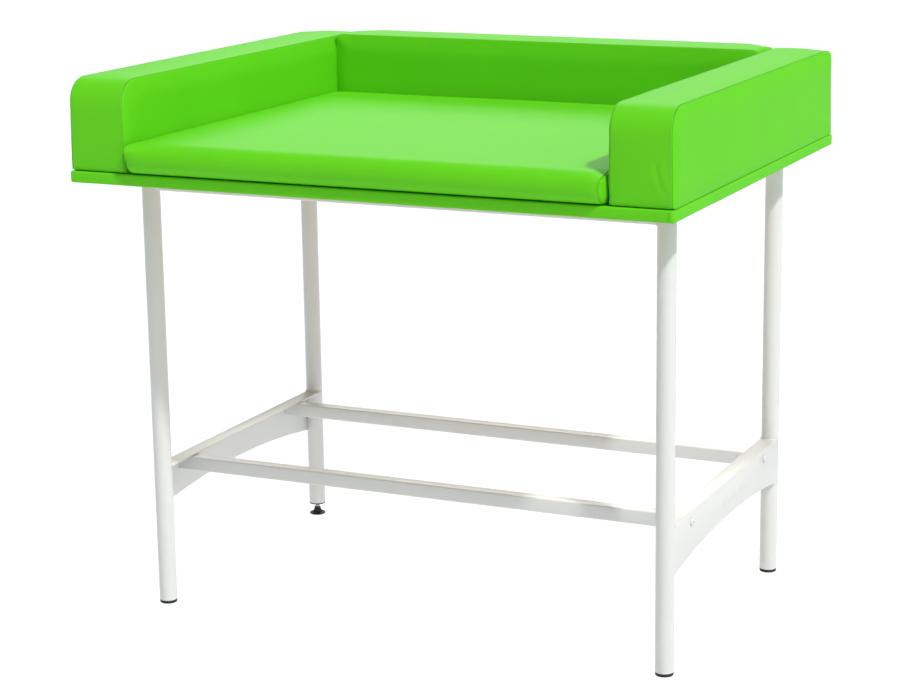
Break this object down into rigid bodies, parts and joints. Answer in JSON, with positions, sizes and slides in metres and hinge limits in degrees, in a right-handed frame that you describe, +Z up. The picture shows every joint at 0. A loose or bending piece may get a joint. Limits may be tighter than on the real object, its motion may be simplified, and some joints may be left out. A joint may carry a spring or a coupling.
{
  "type": "changing table",
  "caption": "Changing table: covered board with three foam bolsters and a loose pad on a welded tube frame with arched side stretchers and levelling feet.",
  "frame": {"origin": "on the floor, under the centre of the whole object's bounding box", "axes": "+Z up, +X to the right of a person who stands at the open front, +Y from the open front to the back bolster"},
  "size_m": [1.1, 0.89, 0.9799],
  "materials": {
    "frame_paint": "white powder coat, satin",
    "foot_plastic": "moulded black polyamide",
    "zinc_steel": "zinc-plated steel",
    "plywood": "raw plywood",
    "leatherette": "lime green coated fabric, fine grain, satin",
    "foam": "open-cell polyurethane foam"
  },
  "bodies": {
    "frame": {"leg_front_left": "frame_paint", "leg_front_right": "frame_paint", "leg_back_left": "frame_paint", "leg_back_right": "frame_paint", "mount_plate_front_left": "frame_paint", "mount_plate_front_right": "frame_paint", "mount_plate_back_left": "frame_paint", "mount_plate_back_right": "frame_paint", "upper_rail_front": "frame_paint", "upper_rail_back": "frame_paint", "upper_rail_left": "frame_paint", "upper_rail_right": "frame_paint", "side_stretcher_left": "frame_paint", "side_stretcher_right": "frame_paint", "cross_rail_front": "frame_paint", "cross_rail_back": "frame_paint", "rail_bolt_front_left": "frame_paint", "rail_bolt_front_right": "frame_paint", "rail_bolt_back_left": "frame_paint", "rail_bolt_back_right": "frame_paint", "leg_plug_front_left": "foot_plastic", "leg_plug_front_right": "foot_plastic", "leg_plug_back_left": "foot_plastic", "leg_plug_back_right": "foot_plastic", "rail_nut_front_left": "zinc_steel", "rail_nut_front_right": "zinc_steel", "rail_nut_back_left": "zinc_steel", "rail_nut_back_right": "zinc_steel", "board_screw_front_left": "zinc_steel", "board_screw_front_right": "zinc_steel", "board_screw_back_left": "zinc_steel", "board_screw_back_right": "zinc_steel", "bolster_screw_left_front": "zinc_steel", "bolster_screw_left_back": "zinc_steel", "bolster_screw_right_front": "zinc_steel", "bolster_screw_right_back": "zinc_steel", "bolster_screw_back_left": "zinc_steel", "bolster_screw_back_right": "zinc_steel", "board_panel": "plywood", "bolster_left_slat": "plywood", "bolster_right_slat": "plywood", "bolster_back_slat": "plywood", "board_cover": "leatherette", "bolster_left_cover": "leatherette", "bolster_right_cover": "leatherette", "bolster_back_cover": "leatherette", "bolster_left_foam": "foam", "bolster_right_foam": "foam", "bolster_back_foam": "foam"},
    "foot_front_left": {"foot_glide_front_left": "foot_plastic", "foot_stud_front_left": "zinc_steel"},
    "foot_front_right": {"foot_glide_front_right": "foot_plastic", "foot_stud_front_right": "zinc_steel"},
    "foot_back_left": {"foot_glide_back_left": "foot_plastic", "foot_stud_back_left": "zinc_steel"},
    "foot_back_right": {"foot_glide_back_right": "foot_plastic", "foot_stud_back_right": "zinc_steel"},
    "pad": {"pad_cover": "leatherette", "pad_foam": "foam"}
  },
  "joints": [
    {"name": "foot_front_left_screw_out", "type": "slide", "parent": "frame", "child": "foot_front_left", "axis": [0, 0, -1], "range_m": [0, 0.025]},
    {"name": "foot_front_right_screw_out", "type": "slide", "parent": "frame", "child": "foot_front_right", "axis": [0, 0, -1], "range_m": [0, 0.025]},
    {"name": "foot_back_left_screw_out", "type": "slide", "parent": "frame", "child": "foot_back_left", "axis": [0, 0, -1], "range_m": [-0.019, 0.006]},
    {"name": "foot_back_right_screw_out", "type": "slide", "parent": "frame", "child": "foot_back_right", "axis": [0, 0, -1], "range_m": [0, 0.025]},
    {"name": "pad_lift_out", "type": "slide", "parent": "frame", "child": "pad", "axis": [0, 0, 1], "range_m": [0, 0.15]}
  ]
}
